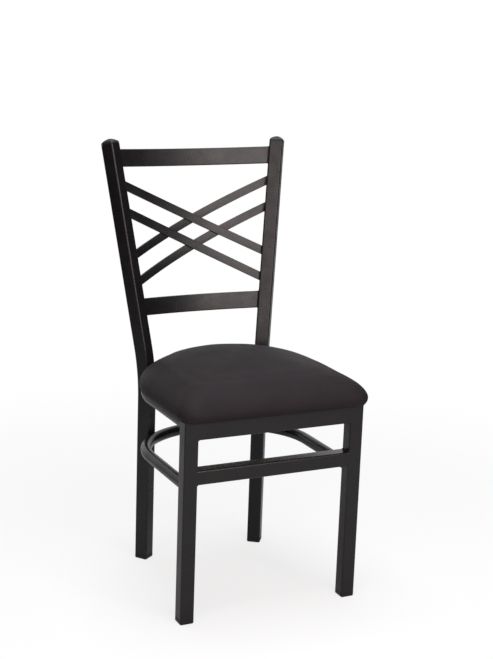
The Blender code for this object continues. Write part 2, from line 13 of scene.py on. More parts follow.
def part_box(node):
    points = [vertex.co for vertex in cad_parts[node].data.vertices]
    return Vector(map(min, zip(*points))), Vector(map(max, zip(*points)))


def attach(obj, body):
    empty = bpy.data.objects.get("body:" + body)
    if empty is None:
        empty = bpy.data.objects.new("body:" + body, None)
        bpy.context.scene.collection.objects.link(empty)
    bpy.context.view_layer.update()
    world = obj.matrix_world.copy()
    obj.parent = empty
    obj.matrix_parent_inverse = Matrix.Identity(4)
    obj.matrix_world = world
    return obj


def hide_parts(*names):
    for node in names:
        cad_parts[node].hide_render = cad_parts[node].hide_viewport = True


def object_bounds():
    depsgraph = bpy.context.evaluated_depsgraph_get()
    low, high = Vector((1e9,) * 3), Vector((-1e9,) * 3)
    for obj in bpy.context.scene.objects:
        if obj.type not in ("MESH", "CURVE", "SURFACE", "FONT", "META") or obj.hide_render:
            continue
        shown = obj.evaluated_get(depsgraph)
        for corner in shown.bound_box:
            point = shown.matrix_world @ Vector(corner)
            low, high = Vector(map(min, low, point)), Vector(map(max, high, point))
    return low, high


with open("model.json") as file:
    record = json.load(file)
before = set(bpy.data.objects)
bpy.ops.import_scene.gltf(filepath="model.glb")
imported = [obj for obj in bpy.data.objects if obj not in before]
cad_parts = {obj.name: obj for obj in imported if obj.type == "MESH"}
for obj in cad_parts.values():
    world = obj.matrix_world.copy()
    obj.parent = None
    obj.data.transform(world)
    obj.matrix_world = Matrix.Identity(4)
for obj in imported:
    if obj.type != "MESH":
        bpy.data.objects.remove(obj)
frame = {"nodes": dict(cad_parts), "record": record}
NODES = frame["nodes"]
CAD_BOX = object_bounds()

# Lengths are in metres, but for the camera's focal length.

# Camera: where the photographer stood

CAMERA_AZIMUTH = radians(-26.12)
CAMERA_ELEVATION = radians(13.67)
CAMERA_ROLL = radians(2.05)
CAMERA_DISTANCE = 2.7866
CAMERA_TARGET = Vector((0.0295, -0.0095, 0.5054))
FOCAL_LENGTH = 77.24  # millimetres, for a sensor whose long side is 36 mm

# Room

PAPER_WHITE = (1.0, 1.0, 1.0, 1.0)
ROOM_FILL = (0.26, 0.26, 0.27, 1.0)
HALF_METRE = 0.5
FLOOR_SIZE = (40.0, 40.0)
FLOOR_TONE = (0.92, 0.92, 0.92, 1.0)
FLOOR_BOUNCE = (0.55, 0.55, 0.56, 1.0)
FLOOR_IN_GLOSS = 0.35  # share of plain white in the floor that gloss shows
SHADOW_SHARE = 0.25  # of the floor's look near the chair that follows the light on it
SHADOW_REACH = (0.5, 1.5)  # from the floor's middle, where the shadow starts to fade and where it ends
PANEL_DISTANCE = 1.7
PANEL_SIZE = (3.2, 2.4)
PANEL_LIFT = 0.01
PANEL_TONE = (0.015, 0.015, 0.016, 1.0)
PANEL_TURNS = (radians(83), radians(-98))

# Lamps: azimuth, elevation, size, power in watts, colour

LAMP_DISTANCE = 2.4
WARM_WHITE = (1.0, 0.88, 0.845)
EVENING_WHITE = (1.0, 0.81, 0.78)
COOL_WHITE = (0.95, 0.975, 1.0)
LAMPS = {
    "key": (radians(5), radians(21), (1.7, 1.4), 34.0, WARM_WHITE),
    "side": (radians(-50), radians(21), (1.4, 1.4), 16.0, EVENING_WHITE),
    "top": (0.0, radians(90), (1.6, 1.6), 52.0, COOL_WHITE),
}

# Finishes: a drifting tone, an uneven gloss, and a relief with its depth

TONE_DETAIL = 4.0
GLOSS_DETAIL = 5.0
COARSE_DETAIL = 2.0
FINE_DETAIL = 1.0

POWDER_SHINE = 0.31
POWDER_TONE = {"Colour": (0.0088, 0.0082, 0.0085, 1.0), "Scale": 26.0, "Amount": 0.3}
POWDER_GLOSS = {"Roughness": 0.29, "Scale": 42.0, "Spread": 0.13}
POWDER_PEEL = {"Coarse Scale": 520.0, "Fine Scale": 1700.0, "Fine Share": 0.4}
POWDER_DEPTH = 0.00012

PLASTIC_SHINE = 0.25
PLASTIC_TONE = {"Colour": (0.0092, 0.0089, 0.0092, 1.0), "Scale": 60.0, "Amount": 0.2}
PLASTIC_GLOSS = {"Roughness": 0.46, "Scale": 40.0, "Spread": 0.06}
PLASTIC_GRAIN = {"Coarse Scale": 1400.0, "Fine Scale": 3000.0, "Fine Share": 0.5}
PLASTIC_DEPTH = 0.00005

VINYL_SHINE = 0.10
VINYL_TONE = {"Colour": (0.0172, 0.0142, 0.0162, 1.0), "Scale": 22.0, "Amount": 0.22}
VINYL_GLOSS = {"Roughness": 0.62, "Scale": 16.0, "Spread": 0.07}
VINYL_FINE = {"Coarse Scale": 900.0, "Fine Scale": 2400.0, "Fine Share": 0.5}
VINYL_FINE_SHARE = 0.35
VINYL_CELLS = 620.0  # across a metre
VINYL_CREASE = 0.22  # how far a cell slopes down to its edge, in cells
VINYL_WARP_SCALE = 240.0
VINYL_WARP_REACH = 0.0012
VINYL_DEPTH = 0.00011

PLYWOOD_ROUGHNESS = 0.72
PLYWOOD_SHINE = 0.3
PLYWOOD_GRAIN = (9.0, 130.0, 60.0)  # scale of the grain along each axis
PLYWOOD_DETAIL = 6.0
PLYWOOD_WANDER = 0.6
PLYWOOD_TONES = ((0.3, (0.25, 0.19, 0.13, 1.0)), (0.72, (0.44, 0.36, 0.27, 1.0)))  # dark, light
PLYWOOD_DEPTH = 0.0002

ZINC_TONE = {"Colour": (0.62, 0.62, 0.60, 1.0), "Scale": 300.0, "Amount": 0.15}
ZINC_GLOSS = {"Roughness": 0.34, "Scale": 400.0, "Spread": 0.1}

# Shading of the frame's loose triangles

MERGE = 0.00002
SHARP_FOLD = radians(50)

# Seat

VOXEL = 0.0045
START_INSET = 0.0015  # of the pad before it swells
MOST_SWELLING = 0.0022
REAR_FULLNESS = 0.0005
FRONT_FULLNESS = 0.004
FULLNESS_SPAN = (0.01, -0.12)  # y, from rear to front
TOP_TILT = 0.12  # sine of the surface's tilt where the top ends
SIDE_TILT = 0.50  # and where the side begins
SWELLING_PRESSURE = 4.0
SWELLING_FRAMES = 20
EVENING_ROUNDS = 12
STAPLED_HEIGHT = 0.003  # above the underside, up to which the cover can't move
FREE_HEIGHT = 0.012  # and from which it moves freely
RIM_ANGLE = radians(60)  # least fold where the cover's outside ends
COVER_THICKNESS = 0.0012
CLEARANCE = 0.0003
SLIVER = 0.00003
CORNER_RADIUS = 0.030
GATHERS = 9  # folds in a quarter turn round a front corner
GATHER_DEPTH = 0.0011
GATHER_HEIGHT = 0.016
GATHER_SPREAD = radians(58)
DIMPLE_DEPTH = 0.0006
DIMPLE_SIZE = 0.055

# Welds

JOINT_REACH = 0.0008  # from a rail's end to its post, at most
FRAME_BEAD = 0.0017
BAR_BEAD = 0.0011
BEAD_PITCH_SHARE = 0.85
BEAD_UNEVENNESS = 0.16
BEAD_SIDES = 8
BEAD_RINGS = 5
FRAME_SEED = 3
BAR_SEED = 5
FLUSH = 0.0006  # depth behind a face that still counts as on it
SIDE_WELD_DROP = 0.0052  # of the side welds, from the middle of the hoop's tube
SIDE_WELD_HALF = 0.011  # half their length
SIDE_WELD_GAP = 0.0035  # from the upright to the hoop, at most
SIDE_WELD_STEPS = 12
FILL_OVERLAP = 0.0001  # of the ground weld metal with the tubes
FILL_PROUD = 0.00003  # of their front faces
FILL_REACH = 0.006  # from a rail's end to the leg, at most

# Staples

STAPLE_CROWN = 0.010
STAPLE_WIRE = 0.0011
STAPLE_PITCH = 0.027
STAPLE_INSET = 0.007
STAPLE_ASKEW = radians(14)
STAPLE_SEED = 11

# Joints

FLUSH_RAILS = ("front_apron_rail", "front_stretcher")
HOOPS = ("seat_frame_hoop", "stretcher_hoop")
BACK_RAILS = ("top_back_rail", "lower_back_rail")
CROSS_BARS = (
    "cross_bar_front_upper",
    "cross_bar_front_lower",
    "cross_bar_rear_upper",
    "cross_bar_rear_lower",
)
FRONT_LEGS = ("front_leg_left", "front_leg_right")
UPRIGHTS = ("rear_upright_left", "rear_upright_right")
FLUSH_JOINTS = [(rail, leg) for rail in FLUSH_RAILS for leg in FRONT_LEGS]
ROUND_JOINTS = [(hoop, leg) for hoop in HOOPS for leg in FRONT_LEGS]  # welded all round
ROUND_JOINTS += [(rail, upright) for rail in BACK_RAILS for upright in UPRIGHTS]

# Kinds of socket

FLOAT = "NodeSocketFloat"
WHOLE = "NodeSocketInt"
PLACE = "NodeSocketVector"
COLOUR = "NodeSocketColor"
SHAPE = "NodeSocketGeometry"
FINISH = "NodeSocketMaterial"


# Node building


def put(tree, kind, values=(), **settings):
    """A node with its settings, and its inputs, each a value or the output that feeds it."""
    made = tree.nodes.new(kind)
    for name, value in settings.items():
        setattr(made, name, value)
    for name, value in dict(values).items():
        if isinstance(value, bpy.types.NodeSocket):
            tree.links.new(value, made.inputs[name])
        else:
            made.inputs[name].default_value = value
    return made


def maths(tree, operation, first, second):
    return put(tree, "ShaderNodeMath", {0: first, 1: second}, operation=operation).outputs[0]


def bare_tree(owner):
    """The node tree of a material or a world, emptied."""
    owner.use_nodes = True
    owner.node_tree.nodes.clear()
    return owner.node_tree


def new_group(name, inputs, outputs, kind="ShaderNodeTree"):
    """A node group with named inputs, {name: (type, value)}, and named outputs, {name: type}."""
    tree = bpy.data.node_groups.new(name, kind)
    for label, (kind_of, value) in inputs.items():
        socket = tree.interface.new_socket(label, in_out="INPUT", socket_type=kind_of)
        if value is not None:
            socket.default_value = value
    for label, kind_of in outputs.items():
        tree.interface.new_socket(label, in_out="OUTPUT", socket_type=kind_of)
    return tree, tree.nodes.new("NodeGroupInput").outputs, tree.nodes.new("NodeGroupOutput").inputs


def use_group(tree, group, place, values):
    return put(tree, "ShaderNodeGroup", {"Place": place, **values}, node_tree=group).outputs


# Effects that the finishes share


def swing(tree, given, detail):
    """Noise from 0 to 1, stretched to swing between -1 and 1."""
    values = {"Vector": given["Place"], "Scale": given["Scale"], "Detail": detail}
    drift = put(tree, "ShaderNodeTexNoise", values).outputs["Fac"]
    return maths(tree, "MULTIPLY", maths(tree, "SUBTRACT", drift, 0.5), 2.0)


def mottle_group():
    """A colour that drifts lighter and darker over the surface."""
    inputs = {
        "Place": (PLACE, None),
        "Colour": (COLOUR, None),
        "Scale": (FLOAT, None),
        "Amount": (FLOAT, None),
    }
    tree, given, wanted = new_group("mottled_tone", inputs, {"Colour": COLOUR})
    drift = maths(tree, "MULTIPLY", swing(tree, given, TONE_DETAIL), given["Amount"])
    values = {0: given["Colour"], "Scale": maths(tree, "ADD", drift, 1.0)}
    scaled = put(tree, "ShaderNodeVectorMath", values, operation="SCALE")
    tree.links.new(scaled.outputs[0], wanted["Colour"])
    return tree


def gloss_group():
    """A roughness that varies a little, as where a surface was handled."""
    inputs = {
        "Place": (PLACE, None),
        "Roughness": (FLOAT, None),
        "Scale": (FLOAT, None),
        "Spread": (FLOAT, None),
    }
    tree, given, wanted = new_group("uneven_gloss", inputs, {"Roughness": FLOAT})
    drift = maths(tree, "MULTIPLY", swing(tree, given, GLOSS_DETAIL), given["Spread"])
    tree.links.new(maths(tree, "ADD", drift, given["Roughness"]), wanted["Roughness"])
    return tree


def relief_group():
    """A fine two-size relief, such as the orange peel of a baked powder coat."""
    inputs = {
        "Place": (PLACE, None),
        "Coarse Scale": (FLOAT, None),
        "Fine Scale": (FLOAT, None),
        "Fine Share": (FLOAT, None),
    }
    tree, given, wanted = new_group("fine_relief", inputs, {"Height": FLOAT})
    heights = []
    for size, detail in (("Coarse Scale", COARSE_DETAIL), ("Fine Scale", FINE_DETAIL)):
        values = {"Vector": given["Place"], "Scale": given[size], "Detail": detail}
        heights.append(put(tree, "ShaderNodeTexNoise", values).outputs["Fac"])
    coarse, fine = heights
    height = maths(tree, "ADD", coarse, maths(tree, "MULTIPLY", fine, given["Fine Share"]))
    tree.links.new(height, wanted["Height"])
    return tree


MOTTLE = mottle_group()
GLOSS = gloss_group()
RELIEF = relief_group()


# Materials


def new_material(name, **sockets):
    """A material, its tree, its shader with plain values in named sockets, and the place on the piece."""
    material = bpy.data.materials.new(name)
    tree = bare_tree(material)
    values = {label.replace("_", " "): value for label, value in sockets.items()}
    shader = put(tree, "ShaderNodeBsdfPrincipled", values)
    put(tree, "ShaderNodeOutputMaterial", {"Surface": shader.outputs[0]})
    place = put(tree, "ShaderNodeTexCoord").outputs["Object"]
    return material, tree, shader, place


def colour_surface(tree, shader, place, tone, gloss):
    colour = use_group(tree, MOTTLE, place, tone)["Colour"]
    roughness = use_group(tree, GLOSS, place, gloss)["Roughness"]
    tree.links.new(colour, shader.inputs["Base Color"])
    tree.links.new(roughness, shader.inputs["Roughness"])


def raise_surface(tree, shader, height, depth):
    bump = put(tree, "ShaderNodeBump", {"Height": height, "Distance": depth, "Strength": 1.0})
    tree.links.new(bump.outputs[0], shader.inputs["Normal"])


def powder_coat():
    name = "black_powder_coat"
    material, tree, shader, place = new_material(name, Specular_IOR_Level=POWDER_SHINE)
    colour_surface(tree, shader, place, POWDER_TONE, POWDER_GLOSS)
    raise_surface(tree, shader, use_group(tree, RELIEF, place, POWDER_PEEL)["Height"], POWDER_DEPTH)
    return material


def moulded_plastic():
    name = "moulded_black_plastic"
    material, tree, shader, place = new_material(name, Specular_IOR_Level=PLASTIC_SHINE)
    colour_surface(tree, shader, place, PLASTIC_TONE, PLASTIC_GLOSS)
    raise_surface(tree, shader, use_group(tree, RELIEF, place, PLASTIC_GRAIN)["Height"], PLASTIC_DEPTH)
    return material


def upholstery_vinyl():
    """Vinyl with a grain of small uneven cells, creased where they meet."""
    name = "matte_black_vinyl"
    material, tree, shader, place = new_material(name, Specular_IOR_Level=VINYL_SHINE)
    colour_surface(tree, shader, place, VINYL_TONE, VINYL_GLOSS)
    values = {"Vector": place, "Scale": VINYL_WARP_SCALE, "Detail": COARSE_DETAIL}
    warp = put(tree, "ShaderNodeTexNoise", values).outputs["Color"]
    bent = put(tree, "ShaderNodeVectorMath", {0: warp, "Scale": VINYL_WARP_REACH}, operation="SCALE")
    moved = put(tree, "ShaderNodeVectorMath", {0: place, 1: bent.outputs[0]}, operation="ADD")
    values = {"Vector": moved.outputs[0], "Scale": VINYL_CELLS}
    cells = put(tree, "ShaderNodeTexVoronoi", values, feature="DISTANCE_TO_EDGE").outputs["Distance"]
    creases = put(tree, "ShaderNodeMapRange", {"Value": cells, "From Max": VINYL_CREASE}).outputs["Result"]
    fine = use_group(tree, RELIEF, place, VINYL_FINE)["Height"]
    grain = maths(tree, "ADD", creases, maths(tree, "MULTIPLY", fine, VINYL_FINE_SHARE))
    raise_surface(tree, shader, grain, VINYL_DEPTH)
    return material


def raw_plywood():
    plain = {"Roughness": PLYWOOD_ROUGHNESS, "Specular_IOR_Level": PLYWOOD_SHINE}
    material, tree, shader, place = new_material("raw_plywood", **plain)
    drawn = put(tree, "ShaderNodeMapping", {"Vector": place, "Scale": PLYWOOD_GRAIN}).outputs[0]
    values = {"Vector": drawn, "Scale": 1.0, "Detail": PLYWOOD_DETAIL, "Distortion": PLYWOOD_WANDER}
    streaks = put(tree, "ShaderNodeTexNoise", values).outputs["Fac"]
    ramp = put(tree, "ShaderNodeValToRGB", {"Fac": streaks})
    for element, (position, colour) in zip(ramp.color_ramp.elements, PLYWOOD_TONES):
        element.position = position
        element.color = colour
    tree.links.new(ramp.outputs["Color"], shader.inputs["Base Color"])
    raise_surface(tree, shader, streaks, PLYWOOD_DEPTH)
    return material


def zinc_plate():
    material, tree, shader, place = new_material("zinc_plate", Metallic=1.0)
    colour_surface(tree, shader, place, ZINC_TONE, ZINC_GLOSS)
    return material


# Geometry nodes


def new_maker(name, sizes):
    """A geometry node tree whose inputs are a shape, named sizes and a finish."""
    inputs = {"Geometry": (SHAPE, None), **sizes, "Finish": (FINISH, None)}
    return new_group(name, inputs, {"Geometry": SHAPE}, "GeometryNodeTree")


def end_maker(tree, given, wanted, shape):
    """Ends a geometry node tree with a plain mesh in its finish."""
    solid = put(tree, "GeometryNodeRealizeInstances", {"Geometry": shape}).outputs[0]
    painted = put(tree, "GeometryNodeSetMaterial", {"Geometry": solid, "Material": given["Finish"]})
    tree.links.new(painted.outputs[0], wanted["Geometry"])
    return tree


def spots_along(tree, given):
    """Points at even steps along edges, with the direction of the edge at each."""
    curve = put(tree, "GeometryNodeMeshToCurve", {"Mesh": given["Geometry"]}).outputs[0]
    values = {"Curve": curve, "Length": given["Pitch"]}
    return put(tree, "GeometryNodeCurveToPoints", values, mode="LENGTH").outputs


def chance(tree, given, least, most):
    """An even chance between two values, for each point."""
    values = {2: least, 3: most, "Seed": given["Seed"]}
    return put(tree, "FunctionNodeRandomValue", values, data_type="FLOAT").outputs[1]


def coat_tree():
    """Joins loose triangles and shades them smooth, but for edges with a sharp fold."""
    sizes = {"Join": (FLOAT, MERGE), "Sharp Fold": (FLOAT, SHARP_FOLD)}
    tree, given, wanted = new_maker("even_coat", sizes)
    within = {"Geometry": given["Geometry"], "Distance": given["Join"]}
    joined = put(tree, "GeometryNodeMergeByDistance", within).outputs[0]
    named = {"Geometry": joined, "Name": "custom_normal"}
    plain = put(tree, "GeometryNodeRemoveAttribute", named).outputs[0]
    smooth = put(tree, "GeometryNodeSetShadeSmooth", {"Geometry": plain}, domain="FACE").outputs[0]
    fold = put(tree, "GeometryNodeInputMeshEdgeAngle").outputs["Unsigned Angle"]
    soft = put(tree, "FunctionNodeCompare", {0: fold, 1: given["Sharp Fold"]}, operation="LESS_THAN")
    by_fold = {"Geometry": smooth, "Shade Smooth": soft.outputs[0]}
    creased = put(tree, "GeometryNodeSetShadeSmooth", by_fold, domain="EDGE").outputs[0]
    return end_maker(tree, given, wanted, creased)


def ripple_tree():
    """Rows of small overlapping drops along edges, as a run of weld leaves."""
    sizes = {
        "Bead Radius": (FLOAT, FRAME_BEAD),
        "Pitch": (FLOAT, FRAME_BEAD * BEAD_PITCH_SHARE),
        "Unevenness": (FLOAT, BEAD_UNEVENNESS),
        "Seed": (WHOLE, FRAME_SEED),
    }
    tree, given, wanted = new_maker("weld_ripples", sizes)
    spots = spots_along(tree, given)
    round_drop = {"Segments": BEAD_SIDES, "Rings": BEAD_RINGS, "Radius": given["Bead Radius"]}
    drop = put(tree, "GeometryNodeMeshUVSphere", round_drop).outputs["Mesh"]
    smooth = put(tree, "GeometryNodeSetShadeSmooth", {"Geometry": drop}).outputs[0]
    least = maths(tree, "SUBTRACT", 1.0, given["Unevenness"])
    most = maths(tree, "ADD", 1.0, given["Unevenness"])
    values = {
        "Points": spots["Points"],
        "Instance": smooth,
        "Rotation": spots["Rotation"],
        "Scale": chance(tree, given, least, most),
    }
    row = put(tree, "GeometryNodeInstanceOnPoints", values).outputs[0]
    return end_maker(tree, given, wanted, row)


def staple_tree():
    """Staples at even steps along edges, each a little askew."""
    sizes = {
        "Crown": (FLOAT, STAPLE_CROWN),
        "Wire": (FLOAT, STAPLE_WIRE),
        "Pitch": (FLOAT, STAPLE_PITCH),
        "Askew": (FLOAT, STAPLE_ASKEW),
        "Seed": (WHOLE, STAPLE_SEED),
    }
    tree, given, wanted = new_maker("staple_row", sizes)
    spots = spots_along(tree, given)
    bar = {"X": given["Crown"], "Y": given["Wire"], "Z": given["Wire"]}
    size = put(tree, "ShaderNodeCombineXYZ", bar).outputs[0]
    wire = put(tree, "GeometryNodeMeshCube", {"Size": size}).outputs["Mesh"]
    kind = "FunctionNodeAlignRotationToVector"
    heading = put(tree, kind, {"Vector": spots["Tangent"]}, axis="X", pivot_axis="Z").outputs[0]
    least = maths(tree, "MULTIPLY", given["Askew"], -1.0)
    turn = put(tree, "ShaderNodeCombineXYZ", {"Z": chance(tree, given, least, given["Askew"])}).outputs[0]
    askew = put(tree, "FunctionNodeRotateRotation", {0: heading, 1: turn}).outputs[0]
    values = {"Points": spots["Points"], "Instance": wire, "Rotation": askew}
    row = put(tree, "GeometryNodeInstanceOnPoints", values).outputs[0]
    return end_maker(tree, given, wanted, row)


def set_input(modifier, name, value):
    for item in modifier.node_group.interface.items_tree:
        if item.name == name and item.in_out == "INPUT":
            modifier[item.identifier] = value


def finish_node(name, material, coat):
    """Gives a node its finish, and smooth shading that keeps its flat faces flat."""
    node = NODES[name]
    node.data.materials.clear()
    node.data.materials.append(material)
    maker = node.modifiers.new("coat", "NODES")
    maker.node_group = coat
    set_input(maker, "Finish", material)
    flats = node.modifiers.new("flats", "WEIGHTED_NORMAL")
    flats.keep_sharp = True


# Meshes


def new_piece(name, mesh, material):
    """An object at the origin that rides on the frame, with its finish."""
    piece = loose_object(name, mesh)
    mesh.materials.clear()
    mesh.materials.append(material)
    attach(piece, "root")
    return piece


def loose_object(name, mesh):
    thing = bpy.data.objects.new(name, mesh)
    bpy.context.scene.collection.objects.link(thing)
    return thing


def baked(thing):
    """A plain mesh of an object as its modifiers leave it, with the modifiers and the object gone."""
    bpy.context.view_layer.update()
    graph = bpy.context.evaluated_depsgraph_get()
    mesh = bpy.data.meshes.new_from_object(thing.evaluated_get(graph), depsgraph=graph)
    bpy.data.objects.remove(thing)
    return mesh


def mesh_of(maker, name):
    mesh = bpy.data.meshes.new(name)
    maker.to_mesh(mesh)
    maker.free()
    return mesh


def merged(node):
    maker = bmesh.new()
    maker.from_mesh(NODES[node].data)
    bmesh.ops.remove_doubles(maker, verts=maker.verts, dist=MERGE)
    return maker


def tree_of(node):
    mesh = NODES[node].data
    return BVHTree.FromPolygons([v.co for v in mesh.vertices], [p.vertices for p in mesh.polygons])


def middle_of(points):
    return sum(points, Vector()) / len(points)


def round_the_middle(points):
    """Points of a loop in order, counter-clockwise about their middle."""
    middle = middle_of(points)
    return sorted(points, key=lambda point: atan2(point.y - middle.y, point.x - middle.x))


def closed(loop):
    return loop + loop[:1]


def grown(loop, distance):
    """A level loop moved outwards along its own normals."""
    moved = []
    for number, point in enumerate(loop):
        ahead = loop[(number + 1) % len(loop)]
        behind = loop[number - 1]
        along = (ahead - behind).normalized()
        moved.append(point + Vector((along.y, -along.x, 0)) * distance)
    return moved


def join_rings(maker, first, second):
    """The wall between two rings of vertices, and a cap on each."""
    for number in range(len(first)):
        after = (number + 1) % len(first)
        maker.faces.new((first[number], first[after], second[after], second[number]))
    maker.faces.new(first)
    maker.faces.new(second)


def prism(name, loop, low, high):
    maker = bmesh.new()
    rings = [[maker.verts.new((point.x, point.y, height)) for point in loop] for height in (low, high)]
    join_rings(maker, *rings)
    bmesh.ops.recalc_face_normals(maker, faces=maker.faces)
    return loose_object(name, mesh_of(maker, name))


def path_mesh(name, paths):
    """Paths as chains of edges."""
    points, edges = [], []
    for path in paths:
        first = len(points)
        points += path
        edges += [(first + step, first + step + 1) for step in range(len(path) - 1)]
    mesh = bpy.data.meshes.new(name)
    mesh.from_pydata(points, edges, [])
    return mesh


def add_row(name, paths, tree, values):
    """A piece that a geometry node tree makes along paths."""
    thing = loose_object(name + "_paths", path_mesh(name, paths))
    maker = thing.modifiers.new(tree.name, "NODES")
    maker.node_group = tree
    for label, value in values.items():
        set_input(maker, label, value)
    return new_piece(name, baked(thing), values["Finish"])


# Seat


def share_between(value, low, high):
    """0 at low, 1 at high and an easy curve in between."""
    share = min(max((value - low) / (high - low), 0), 1)
    return share * share * (3 - 2 * share)


def freedom(point, bottom):
    """0 where the staples hold the cover, 1 where it is free."""
    return share_between(point.z, bottom + STAPLED_HEIGHT, bottom + FREE_HEIGHT)


def fullness(point, normal):
    """How far the cover is cut fuller where it turns down from the top to the sides, most at the front."""
    most = REAR_FULLNESS + (FRONT_FULLNESS - REAR_FULLNESS) * share_between(point.y, *FULLNESS_SPAN)
    return most * share_between(hypot(normal.x, normal.y), TOP_TILT, SIDE_TILT)


def outer_skin():
    """The outside of the cover, closed below, and the loop where it ends under the board."""
    skin = merged("seat_cover")
    start = max(skin.faces, key=lambda face: face.calc_center_median().z)
    outer = {start}
    waiting = [start]
    while waiting:
        for edge in waiting.pop().edges:
            if edge.calc_face_angle(pi) < RIM_ANGLE:
                fresh = [face for face in edge.link_faces if face not in outer]
                outer.update(fresh)
                waiting += fresh
    bmesh.ops.delete(skin, geom=[face for face in skin.faces if face not in outer], context="FACES")
    hem = round_the_middle([vert.co.copy() for vert in skin.verts if vert.is_boundary])
    bmesh.ops.holes_fill(skin, edges=skin.edges)
    bmesh.ops.recalc_face_normals(skin, faces=skin.faces)
    return skin, hem


def even_pad(skin, bottom):
    """A pad a little slimmer than the skin, in an even grid of faces, flat below."""
    skin.normal_update()
    for vert in skin.verts:
        vert.co -= vert.normal * START_INSET * share_between(vert.co.z, bottom, bottom + FREE_HEIGHT)
    pad = loose_object("pad", mesh_of(skin, "pad"))
    remesh = pad.modifiers.new("even_grid", "REMESH")
    remesh.mode = "VOXEL"
    remesh.voxel_size = VOXEL
    mesh = baked(pad)
    for vert in mesh.vertices:
        if vert.co.z < bottom + STAPLED_HEIGHT / 2:
            vert.co.z = bottom
    return mesh


def pushed_out(mesh, bottom):
    """The pad's mesh, and how far outwards the stuffing and the cover's fuller cut bring each point.

    The stuffing is simulated, with the pad's lower edge held by the staples.
    """
    pad = loose_object("pad", mesh)
    start = [(vert.co.copy(), vert.normal.copy()) for vert in mesh.vertices]
    held = pad.vertex_groups.new(name="stapled")
    for number, (point, _) in enumerate(start):
        held.add([number], 1 - freedom(point, bottom), "REPLACE")
    cloth = pad.modifiers.new("stuffing", "CLOTH")
    cloth.settings.use_pressure = True
    cloth.settings.uniform_pressure_force = SWELLING_PRESSURE
    cloth.settings.effector_weights.gravity = 0
    cloth.settings.vertex_group_mass = held.name
    cloth.point_cache.frame_start = 1
    cloth.point_cache.frame_end = SWELLING_FRAMES
    for number in range(1, SWELLING_FRAMES + 1):
        bpy.context.scene.frame_set(number)
    mesh = baked(pad)
    bpy.context.scene.frame_set(1)
    amounts = [(vert.co - point).dot(normal) for vert, (point, normal) in zip(mesh.vertices, start)]
    for vert, (point, _) in zip(mesh.vertices, start):
        vert.co = point
    amounts = [min(max(amount, 0), MOST_SWELLING) for amount in amounts]
    amounts = [amount + fullness(*place) for amount, place in zip(amounts, start)]
    return mesh, evened(mesh, amounts)


def evened(mesh, amounts):
    """Amounts averaged with their neighbours' a few times, so that no crease is left."""
    near = [[] for _ in mesh.vertices]
    for edge in mesh.edges:
        first, second = edge.vertices
        near[first].append(second)
        near[second].append(first)
    for _ in range(EVENING_ROUNDS):
        amounts = [
            (amounts[number] + sum(amounts[other] for other in others) / len(others)) / 2
            for number, others in enumerate(near)
        ]
    return amounts


def with_room(mesh, amounts, bottom):
    """The amounts, as far as the staples, the uprights and the frame let the points go."""
    neighbours = [tree_of(name) for name in (*UPRIGHTS, "seat_frame_hoop")]
    rooms = []
    for vert, amount in zip(mesh.vertices, amounts):
        room = amount * freedom(vert.co, bottom)
        for neighbour in neighbours:
            distance = neighbour.find_nearest(vert.co, MOST_SWELLING + FRONT_FULLNESS + CLEARANCE)[3]
            if distance is not None:
                room = min(room, max(distance - CLEARANCE, 0))
        rooms.append(room)
    return rooms


def move_out(mesh, amounts):
    """Moves each point along its normal; all normals are read before any point moves."""
    normals = [vert.normal.copy() for vert in mesh.vertices]
    for vert, normal, amount in zip(mesh.vertices, normals, amounts):
        vert.co += normal * amount


def gather(point, bottom, low, high):
    """Depth of the folds that the cover makes under its front corners."""
    side = 1 if point.x > 0 else -1
    corner_x = side * (high.x - CORNER_RADIUS)
    corner_y = low.y + CORNER_RADIUS
    turn = atan2(side * (point.x - corner_x), corner_y - point.y) - pi / 4
    if abs(turn) > GATHER_SPREAD:
        return 0
    lasting = 1 - share_between(point.z, bottom + GATHER_HEIGHT / 2, bottom + GATHER_HEIGHT)
    rising = share_between(point.z, bottom, bottom + STAPLED_HEIGHT)
    wave = (1 - cos(4 * GATHERS * turn)) / 2
    return GATHER_DEPTH * wave * lasting * rising * cos(turn * pi / 2 / GATHER_SPREAD)


def gathers_and_dimples(mesh, bottom):
    """The cover's gathers, and the shallow dimples of a pad that gives way, for each point."""
    low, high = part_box("seat_cover")
    amounts = []
    for vert in mesh.vertices:
        dimple = DIMPLE_DEPTH * noise.noise(vert.co / DIMPLE_SIZE) * freedom(vert.co, bottom)
        amounts.append(dimple - gather(vert.co, bottom, low, high))
    return amounts


def subdivided(mesh):
    pad = loose_object("pad", mesh)
    finer = pad.modifiers.new("finer", "SUBSURF")
    finer.levels = 1
    finer.render_levels = 1
    return baked(pad)


def board_outline():
    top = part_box("seat_board")[1].z
    board = merged("seat_board")
    loop = round_the_middle([vert.co.copy() for vert in board.verts if top - vert.co.z < CLEARANCE])
    board.free()
    return loop


def hollowed(mesh, hem, bottom):
    """The pad with room for the board, and open below within the hem."""
    pad = loose_object("pad", mesh)
    board = grown(board_outline(), CLEARANCE)
    board_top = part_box("seat_board")[1].z
    hem_top = bottom + COVER_THICKNESS
    cutters = [
        prism("board_room", board, hem_top, board_top + CLEARANCE),
        prism("hem_opening", hem, bottom - VOXEL, hem_top + CLEARANCE),
    ]
    for cutter in cutters:
        cut = pad.modifiers.new(cutter.name, "BOOLEAN")
        cut.operation = "DIFFERENCE"
        cut.solver = "EXACT"
        cut.object = cutter
    mesh = without_slivers(baked(pad))
    for cutter in cutters:
        bpy.data.objects.remove(cutter)
    return mesh


